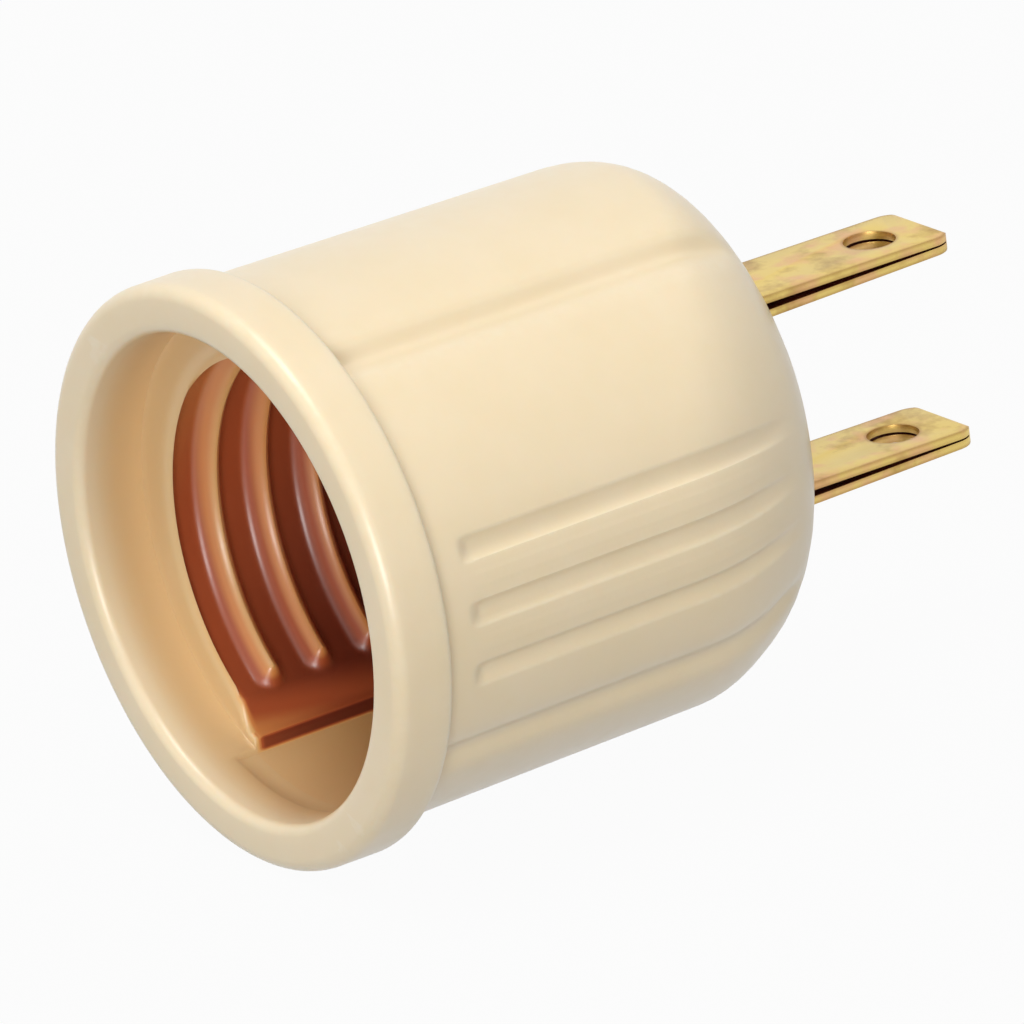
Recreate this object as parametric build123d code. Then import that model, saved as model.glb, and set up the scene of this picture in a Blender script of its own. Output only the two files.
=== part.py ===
from build123d import *
import os
from math import cos, radians, sin, tan

# A plug-in lamp socket adapter: a moulded barrel with a screw socket for an E26 lamp at one end
# and two folded brass blades for a wall outlet at the other. Millimetres.
#
# Y is the socket's axis. The mouth faces -Y and the blades point along +Y. The face that seats
# on the outlet is at Y = 0, and Z runs from the lower blade to the upper one.
# Angles round the barrel start at +Z, over the upper blade, and turn towards +X.

# Barrel
body_length = 36.7
wall_thickness = 2.2
grip_step = 0.3
bottom_land_step = 0.45
draft_angle = 0.9
grip_start_angle = 30.0
grip_end_angle = 125.0
step_ramp_angle = 2.6

# Rear end: a quarter ellipse from the barrel to the flat that seats on the outlet. It is short at
# the top, longer at the bottom and longest at the sides.
nose_top_length = 5.8
nose_side_length = 14.2
nose_bottom_length = 7.8
nose_start_stand = 0.15
nose_inner_radius = 7.3
nose_overrun = 0.2
nose_change_power = 1.5
nose_section_angle = 15

# Rim round the mouth
rim_stand = 0.85
rim_length = 4.1
rim_outer_round = 0.9
rim_inner_round = 0.6
rim_back_round = 0.25

# Finger grooves along each grip
groove_count = 3
groove_middle_angle = 90.5
groove_spacing_angle = 13.4
groove_cutter_radius = 0.8
groove_depth = 0.45
groove_front_gap = 2.5
groove_rear_gap = 5.0

# Socket
thread_root_radius = 13.65
thread_length = 22.0
shoulder_width = 1.75
entry_depth = 4.7
well_clearance = 0.95
well_cone_length = 1.0
floor_thickness = 6.5

# Screw thread for the lamp: seven turns to the inch, as rounded ribs broken at the bottom
thread_pitch = 25.4 / 7
rib_height = 1.0
rib_radius = 1.1
rib_gap_half_angle = 37.5
rib_count = 6
rib_start_depth = 3.67
first_rib_late_angle = 20.0

# Channel for the side contact, through the ribs' gap and a little way into the entry's wall
channel_step = 0.3
channel_width = 13.0
channel_front = 1.5

# Blades, each one strip of brass folded at its tip
blade_spacing = 12.7
blade_length = 16.7
blade_width = 6.3
blade_sheet = 0.5
blade_face_thickness = 1.5
blade_tip_thickness = 1.1
blade_tip_corner = 1.4
blade_hole_radius = 1.65
blade_hole_tip_distance = 4.2
slot_clearance = 0.1
slot_relief = 0.4
foot_bend_radius = 0.55
outer_foot_length = 5.15
inner_foot_length = 3.15

# Contact strips
contact_sheet = 0.4
contact_width = 5.0
contact_bend_radius = 0.9
centre_contact_height = 4.6
centre_contact_half_flat = 1.8
centre_contact_tail = 1.7
centre_contact_tail_drop = 1.3
side_contact_gap = 0.25
side_contact_touch = 0.15
side_contact_straight = 6.0
side_contact_rise = 5.0

# Screws that hold each foot and its contact, with a split washer under each head
screw_offset = 3.05
screw_head_radius = 2.2
screw_head_height = 1.5
screw_head_round = 0.7
screw_radius = 1.1
screw_length = 5.2
screw_point = 0.3
screw_recess_width = 0.55
screw_recess_length = 2.4
screw_recess_depth = 0.7
screw_fit = 0.02
screw_hole_clearance = 0.3
pilot_hole_extra = 0.4
washer_radius = 2.35
washer_thickness = 0.5
washer_split = 0.5

# Sizes and places that follow from the sizes above
rib_crest_radius = thread_root_radius - rib_height
entry_radius = thread_root_radius + shoulder_width
top_land_radius = entry_radius + wall_thickness
grip_radius = top_land_radius - grip_step
bottom_land_radius = top_land_radius - bottom_land_step
rim_radius = top_land_radius + rim_stand
draft = tan(radians(draft_angle)) * body_length
mouth_y = -body_length
rim_back_y = mouth_y + rim_length
shoulder_y = mouth_y + entry_depth
thread_bottom_y = shoulder_y + thread_length
floor_y = -floor_thickness
channel_radius = entry_radius + channel_step
blade_place = blade_spacing / 2
screw_place = blade_place + screw_offset
well_radius = screw_place + washer_radius + well_clearance
outer_foot_end = blade_place + outer_foot_length
inner_foot_end = blade_place - inner_foot_length
foot_top_y = floor_y - blade_sheet
blade_hole_y = blade_length - blade_hole_tip_distance
contact_top_y = foot_top_y - contact_sheet
washer_top_y = contact_top_y - washer_thickness
reach = 2 * (body_length + blade_length)

side_view = Plane(origin=(0, 0, 0), x_dir=(0, 0, 1), z_dir=(-1, 0, 0))


def across(radius, angle):
    """Point of the cross-section in X and Z, at an angle from +Z towards +X."""
    return (radius * sin(radians(angle)), radius * cos(radians(angle)))


def arc(radius, start, end):
    return ThreePointArc(across(radius, start), across(radius, (start + end) / 2), across(radius, end))


def cylinder(radius, start_y, end_y, x=0.0, z=0.0):
    """Cylinder along Y between two places, with its axis at x and z."""
    length = end_y - start_y
    return Pos(x, start_y + length / 2, z) * Rot(90, 0, 0) * Cylinder(radius, length)


def box(width, start_y, end_y, start_z, end_z):
    """Box centred on X between two places along Y and two along Z."""
    middle = (0, (start_y + end_y) / 2, (start_z + end_z) / 2)
    return Pos(middle) * Box(width, end_y - start_y, end_z - start_z)


def turned(outline):
    """Solid turned about Y from an outline of radius and Y."""
    return revolve(make_face(Polyline(*outline, close=True)), Axis.Y)


def rings(piece):
    """Round edges of a piece in groups along Y, the foremost group first."""
    return piece.edges().filter_by(GeomType.CIRCLE).group_by(Axis.Y)


def half_section(y, inset):
    """Right half of the barrel's cross-section at a place along Y, with its radii smaller by the inset."""
    ramp = step_ramp_angle / 2
    top = top_land_radius - inset
    grip = grip_radius - inset
    bottom = bottom_land_radius - inset
    section = make_face(
        [
            arc(top, 0, grip_start_angle - ramp),
            Line(across(top, grip_start_angle - ramp), across(grip, grip_start_angle + ramp)),
            arc(grip, grip_start_angle + ramp, grip_end_angle - ramp),
            Line(across(grip, grip_end_angle - ramp), across(bottom, grip_end_angle + ramp)),
            arc(bottom, grip_end_angle + ramp, 180),
            Line(across(bottom, 180), across(top, 0)),
        ]
    )
    return Plane(origin=(0, y, 0), x_dir=(1, 0, 0), z_dir=(0, -1, 0)) * section


def barrel():
    """The stepped barrel, drafted towards the rear: top land highest, grips a step lower, bottom land lowest."""
    half = loft([half_section(mouth_y, 0), half_section(0, draft)], ruled=True)
    return half + mirror(half, Plane.YZ)


def nose_length(angle):
    """How far forward the rear end's rounding reaches at an angle round the barrel."""
    end_length = nose_top_length if angle < 90 else nose_bottom_length
    share = abs(cos(radians(angle))) ** nose_change_power
    return end_length * share + nose_side_length * (1 - share)


def outside_nose():
    """What lies outside the rounded rear end: one half, lofted through sections round the axis, and its mirror."""
    start_radius = top_land_radius - draft + nose_start_stand
    depth = start_radius - nose_inner_radius
    sections = []
    for angle in range(0, 180 + nose_section_angle, nose_section_angle):
        length = nose_length(angle)
        section = make_face(
            [
                EllipticalCenterArc((nose_inner_radius, -length), depth, length + nose_overrun, arc_size=90),
                Line((nose_inner_radius, nose_overrun), (reach, nose_overrun)),
                Line((reach, nose_overrun), (reach, -length)),
                Line((reach, -length), (start_radius, -length)),
            ]
        )
        outwards = (sin(radians(angle)), 0, cos(radians(angle)))
        turned_plane = Plane(origin=(0, 0, 0), x_dir=outwards, z_dir=(-outwards[2], 0, outwards[0]))
        sections.append(turned_plane * section)
    half = loft(sections)
    return [half, mirror(half, Plane.YZ)]


def rim():
    outline = make_face(
        Polyline((0, mouth_y), (rim_radius, mouth_y), (rim_radius, rim_back_y), (0, rim_back_y), close=True)
    )
    back_corner = outline.vertices().filter_by(lambda v: v.X > rim_radius / 2 and v.Y > mouth_y + rim_length / 2)
    return revolve(fillet(back_corner, rim_back_round), Axis.Y)


def grooves():
    """Grooves along both grips, round at the front and running out on the nose at the rear."""
    cutter_place = grip_radius + groove_cutter_radius - groove_depth
    start_y = rim_back_y + groove_front_gap + groove_cutter_radius
    length = -groove_rear_gap - start_y
    cutter = cylinder(groove_cutter_radius, 0, length) + Sphere(groove_cutter_radius)
    cutter = Pos(0, mouth_y, cutter_place) * Rot(-draft_angle, 0, 0) * Pos(0, start_y - mouth_y, 0) * cutter
    cutters = []
    for number in range(groove_count):
        angle = groove_middle_angle + (number - (groove_count - 1) / 2) * groove_spacing_angle
        cutters.append(Rot(0, angle, 0) * cutter)
        cutters.append(mirror(cutters[-1], Plane.YZ))
    return cutters


def socket_hollow():
    """The turned hollow: entry, threaded bore and the well round the contacts."""
    return turned(
        [
            (0, mouth_y - entry_depth),
            (entry_radius, mouth_y - entry_depth),
            (entry_radius, shoulder_y),
            (thread_root_radius, shoulder_y),
            (thread_root_radius, thread_bottom_y),
            (well_radius, thread_bottom_y + well_cone_length),
            (well_radius, floor_y),
            (0, floor_y),
        ]
    )


def rib(turn, late_angle=0.0):
    """Rounded helical rib with round ends, for one turn of the thread, which can start late."""
    arc_share = (360 - 2 * rib_gap_half_angle - late_angle) / 360
    path = Helix(thread_pitch, thread_pitch * arc_share, rib_crest_radius + rib_radius)
    section = Plane(origin=path @ 0, z_dir=path % 0) * Circle(rib_radius)
    ridge = sweep(section, path, is_frenet=True)
    for end in (path @ 0, path @ 1):
        ridge += Pos(end) * Sphere(rib_radius)
    start_angle = 180 + rib_gap_half_angle + late_angle
    start_y = mouth_y + rib_start_depth + thread_pitch * (turn + late_angle / 360)
    return Pos(0, start_y, 0) * Rot(0, start_angle - 90, 0) * Rot(-90, 0, 0) * ridge


def thread_ribs():
    """The thread's ribs. The first is cut level with the shoulder, so it starts where it stands clear of it."""
    first = rib(0, first_rib_late_angle) - cylinder(entry_radius, mouth_y, shoulder_y)
    return [first] + [rib(turn) for turn in range(1, rib_count)]


def channel():
    """Channel for the side contact, below the socket's axis."""
    front_y = shoulder_y - channel_front
    return cylinder(channel_radius, front_y, floor_y) & box(channel_width, front_y, floor_y, -reach, 0)


def blade_slots():
    """Slots for the blades, with a wider relief where the feet bend."""
    half_slot = blade_face_thickness / 2 + slot_clearance
    slot_width = blade_width + 2 * slot_clearance
    slot = box(slot_width, floor_y, 0, blade_place - half_slot, blade_place + half_slot)
    half_relief = half_slot + slot_relief
    slot += box(slot_width, floor_y, floor_y + slot_relief, blade_place - half_relief, blade_place + half_relief)
    return [slot, mirror(slot, Plane.XY)]


def screw_holes():
    start_y = washer_top_y + screw_length + pilot_hole_extra
    return [cylinder(screw_radius + screw_fit, floor_y, start_y, z=side * screw_place) for side in (1, -1)]


def body():
    shell = barrel() - outside_nose()
    shell += rim()
    shell -= grooves()
    shell -= socket_hollow()
    shell = fillet(rings(shell)[0].sort_by(SortBy.RADIUS)[-1], rim_outer_round)
    shell = fillet(rings(shell)[0].sort_by(SortBy.RADIUS)[0], rim_inner_round)
    shell -= channel()
    shell += thread_ribs()
    shell -= blade_slots()
    shell -= screw_holes()
    return shell


def sheet_strip(path, thickness, width):
    """Bent sheet: a path in the side view, given as Z and Y, made thick and wide."""
    return extrude(side_view * trace(path, thickness), width / 2, both=True)


def upper_blade():
    """One strip: out along the outer leaf, round the fold at the tip and back along the inner leaf."""
    fold_radius = (blade_tip_thickness - blade_sheet) / 2
    fold_y = blade_length - blade_sheet / 2 - fold_radius
    face_half = (blade_face_thickness - blade_sheet) / 2
    slope = (face_half - fold_radius) / fold_y
    foot_y = floor_y - blade_sheet / 2
    root_half = face_half - slope * foot_y
    outer_leaf = FilletPolyline(
        (outer_foot_end, foot_y),
        (blade_place + root_half, foot_y),
        (blade_place + fold_radius, fold_y),
        radius=foot_bend_radius,
    )
    fold = ThreePointArc(
        (blade_place + fold_radius, fold_y),
        (blade_place, fold_y + fold_radius),
        (blade_place - fold_radius, fold_y),
    )
    inner_leaf = FilletPolyline(
        (blade_place - fold_radius, fold_y),
        (blade_place - root_half, foot_y),
        (inner_foot_end, foot_y),
        radius=foot_bend_radius,
    )
    strip = sheet_strip([outer_leaf, fold, inner_leaf], blade_sheet, blade_width)
    plan = Pos(0, blade_length - reach / 2) * Rectangle(blade_width, reach)
    tip_corners = plan.vertices().filter_by(lambda v: v.Y > 0)
    strip &= extrude(fillet(tip_corners, blade_tip_corner), reach, both=True)
    strip -= Pos(0, blade_hole_y, blade_place) * Cylinder(blade_hole_radius, 2 * blade_face_thickness)
    strip -= foot_hole()
    return strip


def foot_hole():
    """Clearance hole for a screw through a foot and its contact."""
    return cylinder(screw_radius + screw_hole_clearance, contact_top_y, floor_y, z=screw_place)


def centre_contact():
    """Spring strip from the upper blade's foot to the lamp's centre."""
    strip_y = foot_top_y - contact_sheet / 2
    high_y = strip_y - centre_contact_height
    bend_place = screw_place - washer_radius - contact_bend_radius / 2
    path = FilletPolyline(
        (outer_foot_end, strip_y),
        (bend_place, strip_y),
        (centre_contact_half_flat, high_y),
        (-centre_contact_half_flat, high_y),
        (-centre_contact_half_flat - centre_contact_tail, high_y + centre_contact_tail_drop),
        radius=contact_bend_radius,
    )
    return sheet_strip(path, contact_sheet, contact_width) - foot_hole()


def side_contact():
    """Spring strip from the lower blade's foot, up the channel, bowed in to touch the lamp's shell."""
    strip_y = foot_top_y - contact_sheet / 2
    corner_reach = (channel_radius**2 - (contact_width / 2) ** 2) ** 0.5
    back = corner_reach - side_contact_gap - contact_sheet / 2
    bow_y = strip_y - side_contact_straight - side_contact_rise
    path = FilletPolyline(
        (screw_place - washer_radius, strip_y),
        (back, strip_y),
        (back, strip_y - side_contact_straight),
        (rib_crest_radius + side_contact_touch, bow_y),
        (back, bow_y - side_contact_rise),
        radius=contact_bend_radius,
    )
    return mirror(sheet_strip(path, contact_sheet, contact_width) - foot_hole(), Plane.XY)


def upper_screw():
    """Pan-head screw with a cross recess."""
    head_y = washer_top_y - screw_head_height
    head = cylinder(screw_head_radius, head_y, washer_top_y, z=screw_place)
    head = fillet(rings(head)[0], screw_head_round)
    point_y = washer_top_y + screw_length
    shank = cylinder(screw_radius, washer_top_y, point_y, z=screw_place)
    shank = chamfer(rings(shank)[-1], screw_point)
    recess_place = Pos(0, head_y + screw_recess_depth / 2, screw_place)
    recess = recess_place * Box(screw_recess_length, screw_recess_depth, screw_recess_width)
    recess += recess_place * Box(screw_recess_width, screw_recess_depth, screw_recess_length)
    return head + shank - recess


def upper_washer():
    """Split spring washer under the screw's head."""
    ring = cylinder(washer_radius, washer_top_y, contact_top_y, z=screw_place)
    ring -= cylinder(screw_radius + screw_hole_clearance, washer_top_y, contact_top_y, z=screw_place)
    return ring - box(washer_split, washer_top_y, contact_top_y, screw_place, screw_place + washer_radius)


def below(piece):
    """The same piece at the lower blade."""
    return Rot(0, 180, 0) * piece


pieces = {
    "body": body(),
    "upper_blade": upper_blade(),
    "lower_blade": below(upper_blade()),
    "centre_contact": centre_contact(),
    "side_contact": side_contact(),
    "upper_screw": upper_screw(),
    "lower_screw": below(upper_screw()),
    "upper_washer": upper_washer(),
    "lower_washer": below(upper_washer()),
}

os.makedirs("parts", exist_ok=True)
for name, piece in pieces.items():
    export_step(piece, f"parts/{name}.step")
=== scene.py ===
from math import atan2, cos, exp, hypot, pi, radians, sin, sqrt, tan

import bmesh
import bpy
from mathutils import Matrix, Vector


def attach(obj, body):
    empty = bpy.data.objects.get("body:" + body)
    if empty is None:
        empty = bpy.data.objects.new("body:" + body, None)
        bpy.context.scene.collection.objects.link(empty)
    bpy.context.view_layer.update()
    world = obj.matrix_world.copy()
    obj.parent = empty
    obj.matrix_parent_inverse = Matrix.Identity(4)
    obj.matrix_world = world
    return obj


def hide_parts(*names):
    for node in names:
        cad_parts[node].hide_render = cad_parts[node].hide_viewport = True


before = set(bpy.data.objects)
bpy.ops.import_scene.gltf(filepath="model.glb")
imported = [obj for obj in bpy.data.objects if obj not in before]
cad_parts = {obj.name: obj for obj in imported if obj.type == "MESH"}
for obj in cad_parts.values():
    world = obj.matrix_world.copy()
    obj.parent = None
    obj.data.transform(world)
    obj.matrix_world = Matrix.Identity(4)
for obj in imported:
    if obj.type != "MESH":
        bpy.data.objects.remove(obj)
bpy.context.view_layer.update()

# The part's sizes are written in millimetres, as in its source, and turned to metres at the end.
MM = 0.001
ROOT = "root"


# Camera, at the photograph's viewing angle

CAMERA_PLACE = (792.34, -515.04, 339.94)
CAMERA_RIGHT = (0.56633, 0.81511, -0.12192)
CAMERA_UP = (-0.21856, 0.29117, 0.93137)
CAMERA_LENS = 578.67
CAMERA_SENSOR = 36.0


def make_camera():
    """The camera's right and up are given, and it looks along the third direction."""
    data = bpy.data.cameras.new("camera")
    data.lens = CAMERA_LENS
    data.sensor_width = CAMERA_SENSOR
    data.clip_start = 0.01
    data.clip_end = 10.0
    camera = bpy.data.objects.new("camera", data)
    right = Vector(CAMERA_RIGHT).normalized()
    up = Vector(CAMERA_UP)
    up = (up - right * up.dot(right)).normalized()
    back = right.cross(up)
    turn = Matrix((right, up, back)).transposed().to_4x4()
    camera.matrix_world = Matrix.Translation(Vector(CAMERA_PLACE) * MM) @ turn
    bpy.context.scene.collection.objects.link(camera)
    bpy.context.scene.camera = camera


# Light, floor and background. The floor's size and the lamps' places are in metres.

FLOOR_DROP = 18.6
FLOOR_SIZE = 3.0
FLOOR_TONE = (0.22, 0.22, 0.22, 1)
FLOOR_GLOW = 0.96
WORLD_LIGHT = 0.52
LIGHT_AIM = (0, -0.010, 0)
LAMPS = (
    # name, place, size, power in watts
    ("key", (0.02, -0.18, 0.78), 0.45, 3.15),
    ("front_fill", (0.68, -0.54, 0.10), 0.40, 4.2),
)


def make_lamp(name, place, size, power):
    data = bpy.data.lights.new(name, "AREA")
    data.shape = "DISK"
    data.size = size
    data.energy = power
    lamp = bpy.data.objects.new(name, data)
    aim = Vector(LIGHT_AIM) - Vector(place)
    lamp.rotation_euler = aim.to_track_quat("-Z", "Y").to_euler()
    lamp.location = place
    bpy.context.scene.collection.objects.link(lamp)


def make_world():
    """Even studio light, which the camera sees as plain white."""
    world = bpy.data.worlds.new("studio")
    world.use_nodes = True
    tree = world.node_tree
    background = tree.nodes["Background"]
    background.inputs["Color"].default_value = (1, 1, 1, 1)
    level = tree.nodes.new("ShaderNodeMapRange")
    level.inputs["To Min"].default_value = WORLD_LIGHT
    level.inputs["To Max"].default_value = 1.0
    tree.links.new(seen_directly(tree), level.inputs["Value"])
    tree.links.new(level.outputs["Result"], background.inputs["Strength"])
    bpy.context.scene.world = world


def seen_directly(tree):
    """1 for what the camera sees, also in a reflection or through glass, and 0 for light on the object."""
    path = tree.nodes.new("ShaderNodeLightPath")
    seen = path.outputs["Is Camera Ray"]
    for other in ("Is Glossy Ray", "Is Transmission Ray"):
        either = tree.nodes.new("ShaderNodeMath")
        either.operation = "MAXIMUM"
        tree.links.new(seen, either.inputs[0])
        tree.links.new(path.outputs[other], either.inputs[1])
        seen = either.outputs["Value"]
    return seen


def make_floor():
    """Plain pale floor that keeps a faint shadow."""
    bm = bmesh.new()
    bmesh.ops.create_grid(bm, x_segments=1, y_segments=1, size=FLOOR_SIZE / 2)
    bmesh.ops.translate(bm, vec=(0, 0, -FLOOR_DROP * MM), verts=bm.verts)
    floor = finished("floor", bm, floor_paint())


def floor_paint():
    material, tree, shader = new_material("pale_floor")
    shader.inputs["Base Color"].default_value = FLOOR_TONE
    shader.inputs["Roughness"].default_value = 0.9
    output = tree.nodes["Material Output"]
    glow = tree.nodes.new("ShaderNodeEmission")
    glow.inputs["Color"].default_value = (1, 1, 1, 1)
    share = tree.nodes.new("ShaderNodeMath")
    share.operation = "MULTIPLY"
    share.inputs[1].default_value = FLOOR_GLOW
    tree.links.new(seen_directly(tree), share.inputs[0])
    mix = tree.nodes.new("ShaderNodeMixShader")
    tree.links.new(share.outputs["Value"], mix.inputs["Fac"])
    tree.links.new(shader.outputs["BSDF"], mix.inputs[1])
    tree.links.new(glow.outputs["Emission"], mix.inputs[2])
    tree.links.new(mix.outputs["Shader"], output.inputs["Surface"])
    return material


# Making pieces and materials


def new_material(name):
    material = bpy.data.materials.new(name)
    material.use_nodes = True
    tree = material.node_tree
    return material, tree, tree.nodes["Principled BSDF"]


def finished(name, bm, material=None):
    """An object made from a bmesh, linked into the scene with its one material."""
    mesh = bpy.data.meshes.new(name)
    bm.to_mesh(mesh)
    bm.free()
    if material is not None:
        mesh.materials.append(material)
    piece = bpy.data.objects.new(name, mesh)
    bpy.context.scene.collection.objects.link(piece)
    return piece


def bake(piece):
    """Applies a piece's modifiers to its mesh."""
    shown = piece.evaluated_get(bpy.context.evaluated_depsgraph_get())
    mesh = bpy.data.meshes.new_from_object(shown)
    piece.modifiers.clear()
    piece.data = mesh


def clamp(value, low, high):
    return max(low, min(high, value))


def smooth(start, end, value):
    """Smooth rise from 0 at the start to 1 at the end."""
    share = clamp((value - start) / (end - start), 0.0, 1.0)
    return share * share * (3 - 2 * share)


# Body: a sleeve of rows and columns. Each row becomes a ring of the moulding, from the middle of the
# face that seats on the outlet, over the rounded rear, barrel and rim and down the socket's bore.
# Angles are in degrees from the top, and the two halves are alike outside.

# Barrel: a top land, a grip a step lower on each side and a bottom land, with a soft valley on each step
MOUTH_Y = -36.7
TOP_LAND_RADIUS = 17.6
GRIP_STEP = 0.3
BOTTOM_LAND_STEP = 0.35
DRAFT = tan(radians(0.9))
GRIP_START_ANGLE = 30.0
GRIP_END_ANGLE = 125.0
STEP_HALF_ANGLE = 1.6
STEP_FADE = (-5.5, -2.0)
VALLEY_DEPTH = 0.6
VALLEY_HALF_WIDTH = 1.1
TOP_VALLEY_ANGLE = 31.8
BOTTOM_VALLEY_ANGLE = 124.2
BARREL_ROWS_Y = (-17, -20, -23, -26, -28)
BODY_SHARP_ANGLE = radians(38)

# Rounded rear end
NOSE_TOP_LENGTH = 5.8
NOSE_SIDE_LENGTH = 14.2
NOSE_BOTTOM_LENGTH = 7.8
NOSE_DEPTH = 8.8
NOSE_CHANGE_POWER = 1.5
NOSE_FLATNESS = 1.05
NOSE_BEND_STEP = 6
NOSE_FRONT_Y = -15.2
SEAT_SHARES = (0.0, 0.5, 0.8, 0.94)

# Rim round the mouth
RIM_RADIUS = 18.45
RIM_BACK_Y = -32.6
RIM_OUTER_ROUND = 0.9
RIM_INNER_ROUND = 0.7
RIM_BACK_ROUND = 0.5
RIM_BACK_FILLET = 0.35
RIM_FILLET_ROWS = (1.2, 0.6, 0.35, 0.22, 0.12, 0.05, 0.0)

# Finger grooves, which fade out on the rear end
GROOVE_ANGLES = (77.1, 90.5, 103.9)
GROOVE_CUTTER_RADIUS = 0.8
GROOVE_DEPTH = 0.42
GROOVE_EDGE_SOFTNESS = 0.15
GROOVE_FRONT_Y = -29.9
GROOVE_FRONT_HALF = 0.6
GROOVE_FADE = (-8.0, -4.0)
GROOVE_END_ROWS = 13
GROOVE_ROW_STEP = 0.12

# Socket: entry, shoulder, threaded bore and the well behind it
ENTRY_RADIUS = 15.4
ENTRY_ROWS_Y = (-35.2, -34.4, -33.7, -33.55, -33.5, -33.45, -33.3, -32.8, -32.3, -32.04)
SHOULDER_Y = -32.0
SHOULDER_ROUND = 0.45
SHOULDER_DROP = 0.01
SHOULDER_SHARES = (0.06, 0.25, 0.45, 0.6)
SHOULDER_BENDS = (15, 30, 45, 60, 75)
ROOT_RADIUS = 13.65
THREAD_BOTTOM_Y = -10.0
WELL_RADIUS = 12.7
WELL_CONE_LENGTH = 1.0
FLOOR_Y = -6.5
WELL_ROWS_Y = (-8.2, -7.4, -6.7, FLOOR_Y)
FLOOR_SHARES = (0.9, 0.7, 0.5, 0.25, 0.0)

# Ribs of the thread, with a gap at the bottom where the bore widens a little
PITCH = 25.4 / 7
RIB_CREST_RADIUS = 12.5
RIB_HALF_WIDTH = 1.18
RIB_GAP_HALF_ANGLE = 39.5
RIB_COUNT = 6
RIB_START_Y = -32.75
TURN_MARGIN = 6.0
GAP_EASE = 1.2
GAP_EASE_ANGLES = (35.5, 27.5)
ROWS_PER_TURN = 17
THREAD_LEAD = 1.25
THREAD_PRESS = 0.6

# Channel for the side contact, which deepens between two places along Y
CHANNEL_RADIUS = 15.7
CHANNEL_HALF_WIDTH = 6.5
CHANNEL_FRONT = (-33.9, -32.8)
CHANNEL_REACH_ANGLE = 60

# Painted shade in the socket: 0 where the resin keeps its own colour and 1 where the painted shade is
# darkest. The orange tones between are a painted glow of light soaking through the resin.
ENTRY_SHADE = 0.12
ENTRY_SHADE_LENGTH = 3.6
CREST_SHADE = 0.10
GROOVE_SHADE = 0.38
GROOVE_SHADE_LEAN = 0.18
STRIP_SHADE = 0.26
WALL_SHADE = 0.62
POCKET_SHADE = 0.05
POCKET_DEPTH_SHADE = 0.2
DEPTH_SHADE = 0.5
DEPTH_POWER = 0.8
THREAD_SHADE_SHARE = 0.03
WELL_FLOOR_SHADE = 0.78
NEAR = 0.02

# Columns of one half of the sleeve: they lie closest at the steps, grooves, rib ends and channel.
COLUMN_SPANS = (
    # end angle, columns
    (27.0, 14),
    (34.0, 16),
    (73.0, 18),
    (109.0, 80),
    (119.5, 5),
    (128.5, 18),
    (139.0, 8),
    (146.5, 20),
    (150.0, 4),
    (157.5, 16),
    (180.0, 10),
)


def column_angles():
    """Angles of all the columns, in degrees from +Z towards +X."""
    half = [0.0]
    for end, count in COLUMN_SPANS:
        start = half[-1]
        half += [start + (end - start) * (n + 1) / count for n in range(count)]
    return half + [360 - angle for angle in reversed(half[1:-1])]


def barrel_radius(angle, y):
    """Outside radius of the barrel at an angle from the top, either way round."""
    grip = smooth(GRIP_START_ANGLE - STEP_HALF_ANGLE, GRIP_START_ANGLE + STEP_HALF_ANGLE, angle)
    bottom = smooth(GRIP_END_ANGLE - STEP_HALF_ANGLE, GRIP_END_ANGLE + STEP_HALF_ANGLE, angle)
    step = GRIP_STEP * grip + (BOTTOM_LAND_STEP - GRIP_STEP) * bottom
    for middle in (TOP_VALLEY_ANGLE, BOTTOM_VALLEY_ANGLE):
        across = TOP_LAND_RADIUS * radians(angle - middle) / VALLEY_HALF_WIDTH
        step += VALLEY_DEPTH * exp(-across * across)
    return TOP_LAND_RADIUS - step * (1 - smooth(*STEP_FADE, y)) - DRAFT * (y - MOUTH_Y)


def groove_depth(angle, y):
    """Depth of the finger grooves below the grip."""
    front = smooth(GROOVE_FRONT_Y - GROOVE_FRONT_HALF, GROOVE_FRONT_Y + GROOVE_FRONT_HALF, y)
    end = front * (1 - smooth(*GROOVE_FADE, y))
    if end == 0:
        return 0.0
    depth = 0.0
    for middle in GROOVE_ANGLES:
        across = TOP_LAND_RADIUS * radians(angle - middle)
        if abs(across) < 2 * GROOVE_CUTTER_RADIUS:
            below = sqrt(max(GROOVE_CUTTER_RADIUS**2 - across**2, 0.0))
            below -= GROOVE_CUTTER_RADIUS - GROOVE_DEPTH
            if abs(across) >= GROOVE_CUTTER_RADIUS:
                below -= abs(across) - GROOVE_CUTTER_RADIUS
            depth += (below + sqrt(below**2 + 4 * GROOVE_EDGE_SOFTNESS**2)) / 2
    return depth * end


def nose_length(angle):
    """How far forward the rear end's rounding reaches."""
    end_length = NOSE_TOP_LENGTH if angle < 90 else NOSE_BOTTOM_LENGTH
    share = abs(cos(radians(angle))) ** NOSE_CHANGE_POWER
    return end_length * share + NOSE_SIDE_LENGTH * (1 - share)


def rib_angle(angle):
    """Angle along a rib from its start, for an angle round the whole socket."""
    return (angle - 180 - RIB_GAP_HALF_ANGLE) % 360


def bore_radius(angle, y):
    """Radius of the threaded bore's wall, with the ribs on it."""
    sweep = 360 - 2 * RIB_GAP_HALF_ANGLE
    along = rib_angle(angle)
    arc = pi / 180 * RIB_CREST_RADIUS
    if along <= sweep:
        ends = [(along, 0.0)]
    else:
        ends = [(0.0, (360 - along) * arc), (sweep, (along - sweep) * arc)]
    radius = ROOT_RADIUS + GAP_EASE * smooth(*GAP_EASE_ANGLES, abs(angle - 180))
    for place, beyond in ends:
        turn = round((y - RIB_START_Y) / PITCH - place / 360)
        if 0 <= turn < RIB_COUNT:
            distance = hypot(y - RIB_START_Y - PITCH * (turn + place / 360), beyond)
            if distance < RIB_HALF_WIDTH:
                rise = (1 + cos(pi * distance / RIB_HALF_WIDTH)) / 2
                radius -= (radius - RIB_CREST_RADIUS) * rise
    return radius


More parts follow.
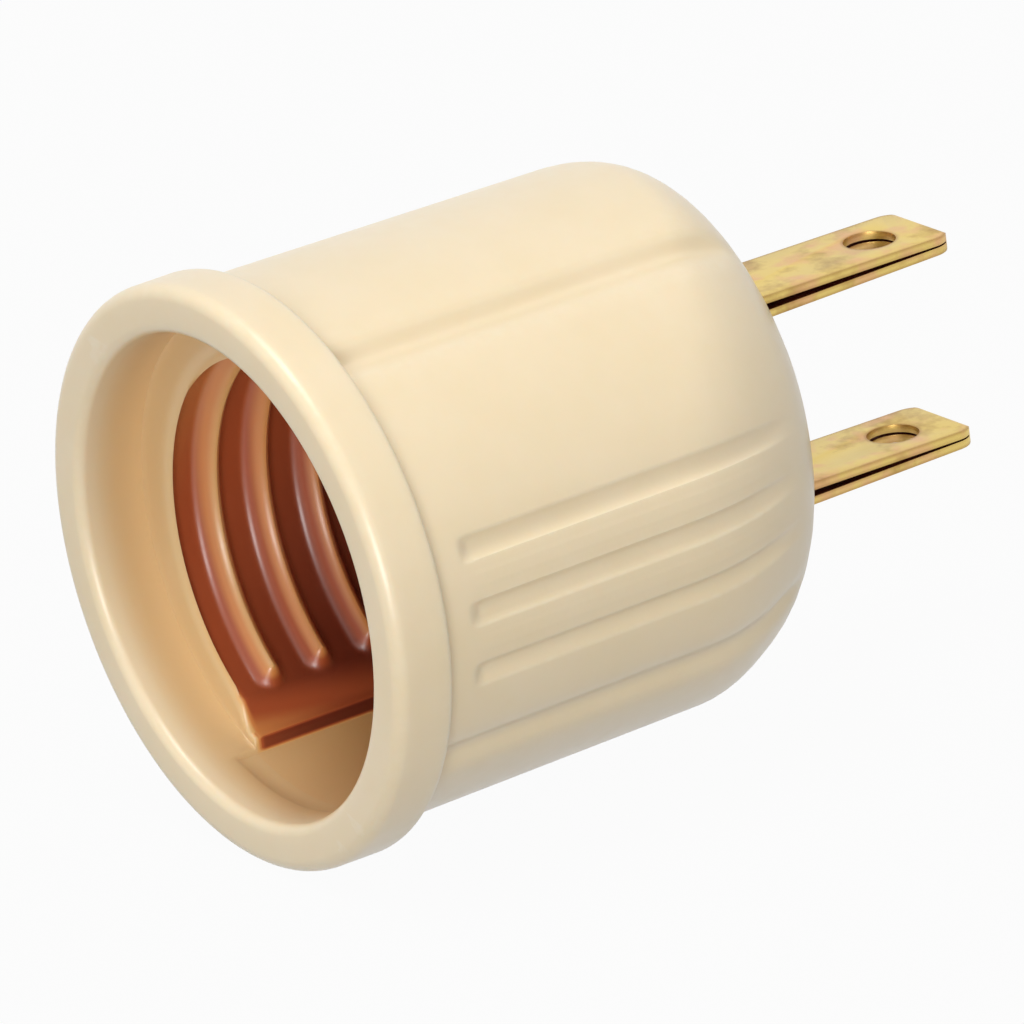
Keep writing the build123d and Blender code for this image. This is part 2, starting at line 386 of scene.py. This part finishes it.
def with_channel(radius, angle, y):
    """The same wall, with the side contact's channel cut into it."""
    depth = smooth(*CHANNEL_FRONT, y)
    away = abs(angle - 180)
    if depth == 0 or away > CHANNEL_REACH_ANGLE:
        return radius
    side = CHANNEL_HALF_WIDTH / max(sin(radians(away)), 0.01)
    cut = max(radius, min(CHANNEL_RADIUS, side))
    return radius + (cut - radius) * depth


def turn_height(angle):
    """How far the ribs have climbed at an angle. It falls back again across their gap."""
    sweep = 360 - 2 * RIB_GAP_HALF_ANGLE + 2 * TURN_MARGIN
    along = (rib_angle(angle) + TURN_MARGIN) % 360
    if along > sweep:
        along = sweep * (360 - along) / (360 - sweep)
    return PITCH * (along - TURN_MARGIN) / 360


def seat_row(share):
    """Ring on the flat face, at a share of its radius."""
    return lambda angle, away: ((barrel_radius(away, 0) - NOSE_DEPTH) * share, 0.0)


def nose_row(bend):
    """Ring on the rounded rear, where the surface has bent by some degrees from the barrel."""

    def place(angle, away):
        y = -nose_length(away) * (1 - sin(radians(bend)) ** NOSE_FLATNESS)
        radius = barrel_radius(away, y) - NOSE_DEPTH * (1 - cos(radians(bend)) ** NOSE_FLATNESS)
        return radius - groove_depth(away, y), y

    return place


def barrel_row(front_y, share=1.0):
    """Ring on the barrel, at a share of the way from the rounding to a place along Y."""

    def place(angle, away):
        y = front_y * share - nose_length(away) * (1 - share)
        radius = barrel_radius(away, y) - groove_depth(away, y)
        short = RIM_BACK_FILLET - (y - RIM_BACK_Y)
        if short > 0:
            radius += RIM_BACK_FILLET - sqrt(RIM_BACK_FILLET**2 - short**2)
        return radius, y

    return place


def rim_row(radius, y):
    """Plain ring on the rim."""
    return lambda angle, away: (radius, y)


def wall_row(radius, y):
    """Ring on a plain wall in the socket, which the channel widens."""
    return lambda angle, away: (with_channel(radius, angle, y), y)


def shoulder_row(share, drop):
    """Ring on the shoulder, from the entry's wall in to the thread."""

    def place(angle, away):
        outer = with_channel(ENTRY_RADIUS, angle, SHOULDER_Y)
        inner = with_channel(bore_radius(angle, SHOULDER_Y), angle, SHOULDER_Y)
        return outer + (inner - outer) * share, SHOULDER_Y + drop

    return place


def thread_row(height):
    """Ring that climbs with the thread. It is pressed against the shoulder and the thread's bottom."""

    def place(angle, away):
        y = SHOULDER_Y + height + turn_height(angle)
        low = SHOULDER_Y + SHOULDER_ROUND + THREAD_PRESS
        if y < low:
            y = SHOULDER_Y + SHOULDER_ROUND + THREAD_PRESS * exp((y - low) / THREAD_PRESS)
        high = THREAD_BOTTOM_Y - THREAD_PRESS
        if y > high:
            y = THREAD_BOTTOM_Y - THREAD_PRESS * exp((high - y) / THREAD_PRESS)
        return with_channel(bore_radius(angle, y), angle, y), y

    return place


def floor_row(share):
    """Ring on the well's floor, at a share of its radius."""
    return lambda angle, away: (with_channel(WELL_RADIUS, angle, FLOOR_Y) * share, FLOOR_Y)


def socket_painted_shade(angle, radius, y):
    """Painted shade of a place in the socket. It grows with the depth, and grooves are painted darker than
    ribs, most of all towards the bottom.
    """
    if y > FLOOR_Y - NEAR:
        return WELL_FLOOR_SHADE
    deep = clamp((y - SHOULDER_Y) / (FLOOR_Y - SHOULDER_Y), 0.0, 1.0)
    entry = ENTRY_SHADE * smooth(MOUTH_Y, MOUTH_Y + ENTRY_SHADE_LENGTH, y)
    if y < SHOULDER_Y + NEAR:
        return entry
    hollow = clamp((radius - RIB_CREST_RADIUS) / (ROOT_RADIUS - RIB_CREST_RADIUS), 0.0, 1.0)
    hollow *= GROOVE_SHADE - GROOVE_SHADE_LEAN * cos(radians(angle))
    hollow += (STRIP_SHADE - hollow) * smooth(*GAP_EASE_ANGLES, abs(angle - 180))
    if radius > ROOT_RADIUS + GAP_EASE:
        hollow = WALL_SHADE
    if radius > CHANNEL_RADIUS - NEAR:
        return entry + POCKET_SHADE + POCKET_DEPTH_SHADE * deep
    thread = (CREST_SHADE + hollow) * smooth(0.0, THREAD_SHADE_SHARE, deep)
    return entry + thread + DEPTH_SHADE * deep**DEPTH_POWER


def corner_rows(radius_middle, y_middle, size, start, end, count):
    """Rings round a rounded corner of the rim, between two angles in its half section."""
    rows = []
    for n in range(count):
        bend = radians(start + (end - start) * n / (count - 1))
        rows.append(rim_row(radius_middle + size * cos(bend), y_middle + size * sin(bend)))
    return rows


def outside_rows():
    """Rings from the seat's middle over the rear end and the barrel to the front of the rim."""
    rows = [seat_row(share) for share in SEAT_SHARES]
    rows += [nose_row(bend) for bend in range(90, -1, -NOSE_BEND_STEP)]
    rows += [barrel_row(NOSE_FRONT_Y, share) for share in (0.25, 0.5, 0.75, 1.0)]
    rows += [barrel_row(y) for y in BARREL_ROWS_Y]
    half = GROOVE_END_ROWS // 2
    rows += [barrel_row(GROOVE_FRONT_Y + GROOVE_ROW_STEP * n) for n in range(half, -half - 1, -1)]
    rows += [barrel_row(RIM_BACK_Y + far) for far in RIM_FILLET_ROWS]
    rows.append(rim_row(RIM_RADIUS - RIM_BACK_ROUND - 0.1, RIM_BACK_Y))
    side_y = RIM_BACK_Y - RIM_BACK_ROUND
    rows += corner_rows(RIM_RADIUS - RIM_BACK_ROUND, side_y, RIM_BACK_ROUND, 90, 0, 5)
    front_y = MOUTH_Y + RIM_OUTER_ROUND
    rows += [rim_row(RIM_RADIUS, side_y + (front_y - side_y) * n / 4) for n in (1, 2, 3)]
    rows += corner_rows(RIM_RADIUS - RIM_OUTER_ROUND, front_y, RIM_OUTER_ROUND, 0, -90, 9)
    rows.append(rim_row((RIM_RADIUS - RIM_OUTER_ROUND + ENTRY_RADIUS + RIM_INNER_ROUND) / 2, MOUTH_Y))
    return rows


def inside_rows():
    """Rings from the rim's inner edge down the entry, shoulder, thread and well to the floor's middle."""
    lip_y = MOUTH_Y + RIM_INNER_ROUND
    rows = corner_rows(ENTRY_RADIUS + RIM_INNER_ROUND, lip_y, RIM_INNER_ROUND, -90, -180, 8)
    rows += [wall_row(ENTRY_RADIUS, y) for y in ENTRY_ROWS_Y]
    rows += [shoulder_row(share, SHOULDER_DROP) for share in SHOULDER_SHARES]
    flat = SHOULDER_SHARES[-1]
    for bend in SHOULDER_BENDS:
        drop = SHOULDER_ROUND * (1 - cos(radians(bend)))
        rows.append(shoulder_row(flat + (1 - flat) * sin(radians(bend)), drop))
    low = RIB_START_Y - SHOULDER_Y - THREAD_LEAD
    count = int((THREAD_BOTTOM_Y - SHOULDER_Y - low) / PITCH * ROWS_PER_TURN)
    rows += [thread_row(low + PITCH * n / ROWS_PER_TURN) for n in range(count)]
    rows.append(wall_row(ROOT_RADIUS, THREAD_BOTTOM_Y))
    rows.append(wall_row(WELL_RADIUS, THREAD_BOTTOM_Y + WELL_CONE_LENGTH))
    rows += [wall_row(WELL_RADIUS, y) for y in WELL_ROWS_Y]
    rows += [floor_row(share) for share in FLOOR_SHARES]
    return rows


def moulding(material):
    """The body: a spun sleeve whose vertices are placed by their row and column, with its slots cut."""
    angles = column_angles()
    outside = outside_rows()
    rows = outside + inside_rows()
    bm = bmesh.new()
    sleeve = []
    for number in range(len(rows)):
        at_axis = number in (0, len(rows) - 1)
        sleeve.append(bm.verts.new((0, number, 0 if at_axis else 1)))
    edges = [bm.edges.new(pair) for pair in zip(sleeve, sleeve[1:])]
    bmesh.ops.spin(
        bm,
        geom=sleeve + edges,
        cent=(0, 0, 0),
        axis=(0, 1, 0),
        angle=2 * pi,
        steps=len(angles),
        use_merge=True,
    )
    bmesh.ops.remove_doubles(bm, verts=bm.verts, dist=1e-5)
    # Each vertex in the socket keeps its share of painted shade, which the resin's colour ramp reads.
    painted_shade = bm.verts.layers.float.new("painted_shade")
    for vertex in bm.verts:
        number = round(vertex.co.y)
        column = round(atan2(vertex.co.x, vertex.co.z) / (2 * pi) * len(angles)) % len(angles)
        angle = angles[column]
        radius, y = rows[number](angle, min(angle, 360 - angle))
        vertex.co = (radius * sin(radians(angle)), y, radius * cos(radians(angle)))
        if number >= len(outside):
            vertex[painted_shade] = socket_painted_shade(angle, radius, y)
    for face in bm.faces:
        face.smooth = True
    bmesh.ops.recalc_face_normals(bm, faces=bm.faces)
    bmesh.ops.scale(bm, vec=(MM, MM, MM), verts=bm.verts)
    piece = finished("moulded_body", bm, material)
    cutter = slot_cutter()
    cut = piece.modifiers.new("cut", "BOOLEAN")
    cut.operation = "DIFFERENCE"
    cut.solver = "EXACT"
    cut.object = cutter
    bake(piece)
    bpy.data.objects.remove(cutter)
    piece.data.set_sharp_from_angle(angle=BODY_SHARP_ANGLE)
    return piece


# Slots and holes in the floor
BLADE_PLACE = 6.35
SCREW_PLACE = 9.4
SLOT_SIZE = (6.5, 1.7)
SCREW_HOLE_RADIUS = 1.12
SCREW_HOLE_END_Y = -2.3
CUTTER_OVERRUN = 1.0


def slot_cutter():
    """Both blades' slots through the floor, and the screws' holes in it."""
    bm = bmesh.new()
    start_y = FLOOR_Y - CUTTER_OVERRUN
    hole_length = SCREW_HOLE_END_Y - start_y
    for side in (1, -1):
        slot_length = CUTTER_OVERRUN - start_y
        size = Matrix.Diagonal((SLOT_SIZE[0], slot_length, SLOT_SIZE[1], 1))
        place = Matrix.Translation((0, start_y + slot_length / 2, side * BLADE_PLACE))
        bmesh.ops.create_cube(bm, size=1, matrix=place @ size)
        place = Matrix.Translation((0, start_y + hole_length / 2, side * SCREW_PLACE))
        bmesh.ops.create_cone(
            bm,
            cap_ends=True,
            segments=40,
            radius1=SCREW_HOLE_RADIUS,
            radius2=SCREW_HOLE_RADIUS,
            depth=hole_length,
            matrix=place @ Matrix.Rotation(pi / 2, 4, "X"),
        )
    bmesh.ops.scale(bm, vec=(MM, MM, MM), verts=bm.verts)
    return finished("slot_cutter", bm)


# Metal pieces: merged copies of the CAD pieces, with softened edges

METAL_FLAT_ANGLE = radians(0.5)
METAL_EDGE_ANGLE = radians(40)
METAL_SHARP_ANGLE = radians(35)


def softened(name, node_name, material, edge):
    """Copy of a CAD piece, with a fine bevel of the given width on its sharp edges."""
    bm = bmesh.new()
    bm.from_mesh(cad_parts[node_name].data)
    bmesh.ops.remove_doubles(bm, verts=bm.verts, dist=1e-6)
    bmesh.ops.dissolve_limit(bm, angle_limit=METAL_FLAT_ANGLE, verts=bm.verts, edges=bm.edges)
    for face in bm.faces:
        face.smooth = True
    piece = finished(name, bm, material)
    bevel = piece.modifiers.new("edge", "BEVEL")
    bevel.width = edge * MM
    bevel.segments = 2
    bevel.limit_method = "ANGLE"
    bevel.angle_limit = METAL_EDGE_ANGLE
    bake(piece)
    piece.data.set_sharp_from_angle(angle=METAL_SHARP_ANGLE)
    return piece


# Shared effects of the finishes


def new_group(name, inputs):
    """A shader node group with one colour-free output, Value, and number inputs with their defaults."""
    group = bpy.data.node_groups.new(name, "ShaderNodeTree")
    for title, value in inputs:
        socket = group.interface.new_socket(title, in_out="INPUT", socket_type="NodeSocketFloat")
        socket.default_value = value
    group.interface.new_socket("Value", in_out="OUTPUT", socket_type="NodeSocketFloat")
    start = group.nodes.new("NodeGroupInput")
    end = group.nodes.new("NodeGroupOutput")
    return group, start, end


def mottle_group():
    """Cloudy unevenness from 0 to 1 of a given patch size in metres."""
    group, start, end = new_group("mottle", (("Size", 0.004), ("Detail", 3.0)))
    place = group.nodes.new("ShaderNodeTexCoord")
    rate = group.nodes.new("ShaderNodeMath")
    rate.operation = "DIVIDE"
    rate.inputs[0].default_value = 1.0
    group.links.new(start.outputs["Size"], rate.inputs[1])
    noise = group.nodes.new("ShaderNodeTexNoise")
    noise.inputs["Roughness"].default_value = 0.6
    group.links.new(place.outputs["Object"], noise.inputs["Vector"])
    group.links.new(rate.outputs["Value"], noise.inputs["Scale"])
    group.links.new(start.outputs["Detail"], noise.inputs["Detail"])
    spread = group.nodes.new("ShaderNodeMapRange")
    spread.inputs["From Min"].default_value = 0.3
    spread.inputs["From Max"].default_value = 0.7
    group.links.new(noise.outputs["Fac"], spread.inputs["Value"])
    group.links.new(spread.outputs["Result"], end.inputs["Value"])
    return group


def grain_group():
    """Fine rolled or brushed lines along Y, from 0 to 1."""
    group, start, end = new_group("rolled_grain", (("Line Width", 0.00006), ("Line Length", 0.004)))
    place = group.nodes.new("ShaderNodeTexCoord")
    split = group.nodes.new("ShaderNodeSeparateXYZ")
    group.links.new(place.outputs["Object"], split.inputs["Vector"])
    join = group.nodes.new("ShaderNodeCombineXYZ")
    for axis, size in (("X", "Line Width"), ("Y", "Line Length"), ("Z", "Line Width")):
        step = group.nodes.new("ShaderNodeMath")
        step.operation = "DIVIDE"
        group.links.new(split.outputs[axis], step.inputs[0])
        group.links.new(start.outputs[size], step.inputs[1])
        group.links.new(step.outputs["Value"], join.inputs[axis])
    noise = group.nodes.new("ShaderNodeTexNoise")
    noise.inputs["Scale"].default_value = 1.0
    noise.inputs["Detail"].default_value = 2.0
    group.links.new(join.outputs["Vector"], noise.inputs["Vector"])
    group.links.new(noise.outputs["Fac"], end.inputs["Value"])
    return group


def edge_group():
    """1 on edges, where a fine rounding would turn the surface away, and 0 elsewhere."""
    group, start, end = new_group("painted_edge_reflection", (("Width", 0.0003),))
    rounding = group.nodes.new("ShaderNodeBevel")
    rounding.samples = 6
    group.links.new(start.outputs["Width"], rounding.inputs["Radius"])
    shape = group.nodes.new("ShaderNodeNewGeometry")
    match = group.nodes.new("ShaderNodeVectorMath")
    match.operation = "DOT_PRODUCT"
    group.links.new(rounding.outputs["Normal"], match.inputs[0])
    group.links.new(shape.outputs["Normal"], match.inputs[1])
    spread = group.nodes.new("ShaderNodeMapRange")
    spread.inputs["From Min"].default_value = 1.0
    spread.inputs["From Max"].default_value = 0.85
    group.links.new(match.outputs["Value"], spread.inputs["Value"])
    group.links.new(spread.outputs["Result"], end.inputs["Value"])
    return group


def recess_group():
    """1 deep in seams and holes, where painted shade darkens the metal, and 0 in the open."""
    group, start, end = new_group("recess", (("Reach", 0.0012),))
    openness = group.nodes.new("ShaderNodeAmbientOcclusion")
    openness.samples = 6
    openness.only_local = True
    group.links.new(start.outputs["Reach"], openness.inputs["Distance"])
    spread = group.nodes.new("ShaderNodeMapRange")
    spread.inputs["From Min"].default_value = 0.97
    spread.inputs["From Max"].default_value = 0.5
    group.links.new(openness.outputs["AO"], spread.inputs["Value"])
    group.links.new(spread.outputs["Result"], end.inputs["Value"])
    return group


MOTTLE = mottle_group()
GRAIN = grain_group()
EDGE = edge_group()
RECESS = recess_group()


def effect(tree, group, values):
    """Places an effect in a material with its own values and gives its output."""
    node = tree.nodes.new("ShaderNodeGroup")
    node.node_tree = group
    for title, value in values.items():
        node.inputs[title].default_value = value
    return node.outputs["Value"]


def mixed(tree, share, first, second):
    """Colour between two, each a colour or a socket, by a share that is a socket."""
    mix = tree.nodes.new("ShaderNodeMix")
    mix.data_type = "RGBA"
    tree.links.new(share, mix.inputs["Factor"])
    for title, colour in (("A", first), ("B", second)):
        socket = next(s for s in mix.inputs if s.name == title and s.type == "RGBA")
        if isinstance(colour, tuple):
            socket.default_value = (*colour, 1)
        else:
            tree.links.new(colour, socket)
    return next(s for s in mix.outputs if s.type == "RGBA")


def product(tree, first, second):
    """Two values multiplied."""
    times = tree.nodes.new("ShaderNodeMath")
    times.operation = "MULTIPLY"
    tree.links.new(first, times.inputs[0])
    tree.links.new(second, times.inputs[1])
    return times.outputs["Value"]


def ranged(tree, value, low, high, from_low=0.0, from_high=1.0):
    """The value spread between a low and a high number."""
    spread = tree.nodes.new("ShaderNodeMapRange")
    spread.inputs["From Min"].default_value = from_low
    spread.inputs["From Max"].default_value = from_high
    spread.inputs["To Min"].default_value = low
    spread.inputs["To Max"].default_value = high
    tree.links.new(value, spread.inputs["Value"])
    return spread.outputs["Result"]


def bumped(tree, shader, height, distance):
    """Relief on the surface, a distance deep in metres."""
    bump = tree.nodes.new("ShaderNodeBump")
    bump.inputs["Strength"].default_value = 1.0
    bump.inputs["Distance"].default_value = distance
    tree.links.new(height, bump.inputs["Height"])
    tree.links.new(bump.outputs["Normal"], shader.inputs["Normal"])


# Finishes

IVORY = (0.81, 0.665, 0.43)
IVORY_PALE = (0.83, 0.69, 0.47)
# Colour of the painted highlight on the body's edges
IVORY_EDGE_HIGHLIGHT = (0.86, 0.75, 0.56)
SOCKET_SHADE_TONES = (
    # painted shade, colour painted there for the shade and for the light that soaks through the resin
    (0.00, IVORY),
    (0.12, (0.73, 0.50, 0.25)),
    (0.26, (0.76, 0.45, 0.17)),
    (0.46, (0.66, 0.26, 0.075)),
    (0.68, (0.42, 0.09, 0.028)),
    (1.00, (0.16, 0.025, 0.010)),
)


def ivory_resin():
    """Glossy resin that lets some light through, with painted shade that makes the socket warmer and
    darker inside and a painted highlight on its edges.
    """
    material, tree, shader = new_material("ivory_resin")
    cloud = effect(tree, MOTTLE, {"Size": 0.006, "Detail": 3.0})
    outside = mixed(tree, cloud, IVORY, IVORY_PALE)
    # Painted shade: the socket's colour follows the ramp, darker and redder with depth and in the grooves.
    painted_shade = tree.nodes.new("ShaderNodeAttribute")
    painted_shade.attribute_name = "painted_shade"
    tones = tree.nodes.new("ShaderNodeValToRGB")
    ramp = tones.color_ramp
    ramp.interpolation = "EASE"
    while len(ramp.elements) < len(SOCKET_SHADE_TONES):
        ramp.elements.new(0.5)
    for element, (place, colour) in zip(ramp.elements, SOCKET_SHADE_TONES):
        element.position = place
        element.color = (*colour, 1)
    tree.links.new(painted_shade.outputs["Fac"], tones.inputs["Fac"])
    inside = ranged(tree, painted_shade.outputs["Fac"], 0.0, 1.0, 0.0, 0.05)
    # Painted highlight: convex edges and ridges are lighter, broken up by a fine mottle.
    shape = tree.nodes.new("ShaderNodeNewGeometry")
    patchy = effect(tree, MOTTLE, {"Size": 0.0008, "Detail": 3.0})
    ridge = ranged(tree, shape.outputs["Pointiness"], 0.0, 0.8, 0.505, 0.54)
    edge_highlight = product(tree, ridge, patchy)
    edge_highlighted = mixed(tree, edge_highlight, outside, IVORY_EDGE_HIGHLIGHT)
    tree.links.new(mixed(tree, inside, edge_highlighted, tones.outputs["Color"]), shader.inputs["Base Color"])
    sheen = effect(tree, MOTTLE, {"Size": 0.0012, "Detail": 4.0})
    tree.links.new(ranged(tree, sheen, 0.34, 0.44), shader.inputs["Roughness"])
    shader.inputs["IOR"].default_value = 1.5
    shader.inputs["Coat Weight"].default_value = 0.5
    shader.inputs["Coat Roughness"].default_value = 0.3
    shader.inputs["Subsurface Weight"].default_value = 0.25
    shader.inputs["Subsurface Radius"].default_value = (1.0, 0.6, 0.35)
    shader.inputs["Subsurface Scale"].default_value = 0.0015
    skin = effect(tree, MOTTLE, {"Size": 0.0009, "Detail": 2.0})
    bumped(tree, shader, skin, 0.000004)
    return material


GRAIN_STRETCH = 60
BLUSH_SHARE = 0.6
# Widths of the painted dark reflection on the edges and of the painted shade in recesses
EDGE_REFLECTION_WIDTH = 0.0005
RECESS_SHADE_REACH = 0.0012


def rolled_metal(name, colours, roughness, line_width, stain_size):
    """Sheet metal with grain along the strip, two kinds of stain, a painted dark reflection on its edges
    and painted shade in its recesses.
    """
    clean, stain_and_edge_reflection, blushed, recess_shade = colours
    material, tree, shader = new_material(name)
    shader.inputs["Metallic"].default_value = 1.0
    grain = effect(tree, GRAIN, {"Line Width": line_width, "Line Length": line_width * GRAIN_STRETCH})
    stain = effect(tree, MOTTLE, {"Size": stain_size, "Detail": 5.0})
    blush = effect(tree, MOTTLE, {"Size": stain_size * BLUSH_SHARE, "Detail": 2.0})
    edge = effect(tree, EDGE, {"Width": EDGE_REFLECTION_WIDTH})
    recess = effect(tree, RECESS, {"Reach": RECESS_SHADE_REACH})
    colour = mixed(tree, ranged(tree, stain, 0.0, 0.85, 0.5, 1.0), clean, stain_and_edge_reflection)
    colour = mixed(tree, ranged(tree, blush, 0.0, 0.9, 0.45, 0.9), colour, blushed)
    # Painted dark reflection: the edges take the stain colour.
    colour = mixed(tree, ranged(tree, edge, 0.0, 0.85), colour, stain_and_edge_reflection)
    # Painted shade: seams and holes darken towards the recess colour.
    colour = mixed(tree, recess, colour, recess_shade)
    tree.links.new(colour, shader.inputs["Base Color"])
    uneven = tree.nodes.new("ShaderNodeMath")
    uneven.operation = "ADD"
    tree.links.new(ranged(tree, grain, roughness - 0.06, roughness + 0.06), uneven.inputs[0])
    tree.links.new(ranged(tree, stain, 0.0, 0.10), uneven.inputs[1])
    tree.links.new(uneven.outputs["Value"], shader.inputs["Roughness"])
    bumped(tree, shader, grain, 0.000006)
    return material


# The scene

make_camera()
make_world()
for lamp in LAMPS:
    make_lamp(*lamp)
make_floor()

# Each metal's clean colour, stain colour (also the painted dark reflection on edges), blushed colour and
# painted recess shade colour
BRASS_COLOURS = ((0.77, 0.585, 0.185), (0.36, 0.19, 0.06), (0.76, 0.46, 0.22), (0.30, 0.06, 0.02))
BRONZE_COLOURS = ((0.78, 0.52, 0.26), (0.58, 0.34, 0.14), (0.74, 0.42, 0.22), (0.14, 0.05, 0.02))
STEEL_COLOURS = ((0.68, 0.65, 0.58), (0.44, 0.40, 0.33), (0.60, 0.54, 0.42), (0.12, 0.10, 0.08))

blade_brass = rolled_metal("blade_brass", BRASS_COLOURS, 0.36, 0.00006, 0.0038)
spring_bronze = rolled_metal("spring_bronze", BRONZE_COLOURS, 0.34, 0.00005, 0.002)
screw_steel = rolled_metal("screw_steel", STEEL_COLOURS, 0.32, 0.00004, 0.0014)

body = moulding(ivory_resin())
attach(body, ROOT)
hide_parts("body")

METAL_PIECES = (
    # piece, CAD node, material, record slot, bevel width in millimetres
    ("outlet_blade_upper", "upper_blade", blade_brass, "blade_brass", 0.2),
    ("outlet_blade_lower", "lower_blade", blade_brass, "blade_brass", 0.2),
    ("centre_spring", "centre_contact", spring_bronze, "spring_bronze", 0.05),
    ("side_spring", "side_contact", spring_bronze, "spring_bronze", 0.05),
    ("clamp_screw_upper", "upper_screw", screw_steel, "screw_steel", 0.05),
    ("clamp_screw_lower", "lower_screw", screw_steel, "screw_steel", 0.05),
    ("split_washer_upper", "upper_washer", screw_steel, "screw_steel", 0.05),
    ("split_washer_lower", "lower_washer", screw_steel, "screw_steel", 0.05),
)
for name, node_name, material, slot_name, edge in METAL_PIECES:
    piece = softened(name, node_name, material, edge)
    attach(piece, ROOT)
    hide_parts(node_name)

bpy.context.scene.view_settings.view_transform = "Standard"
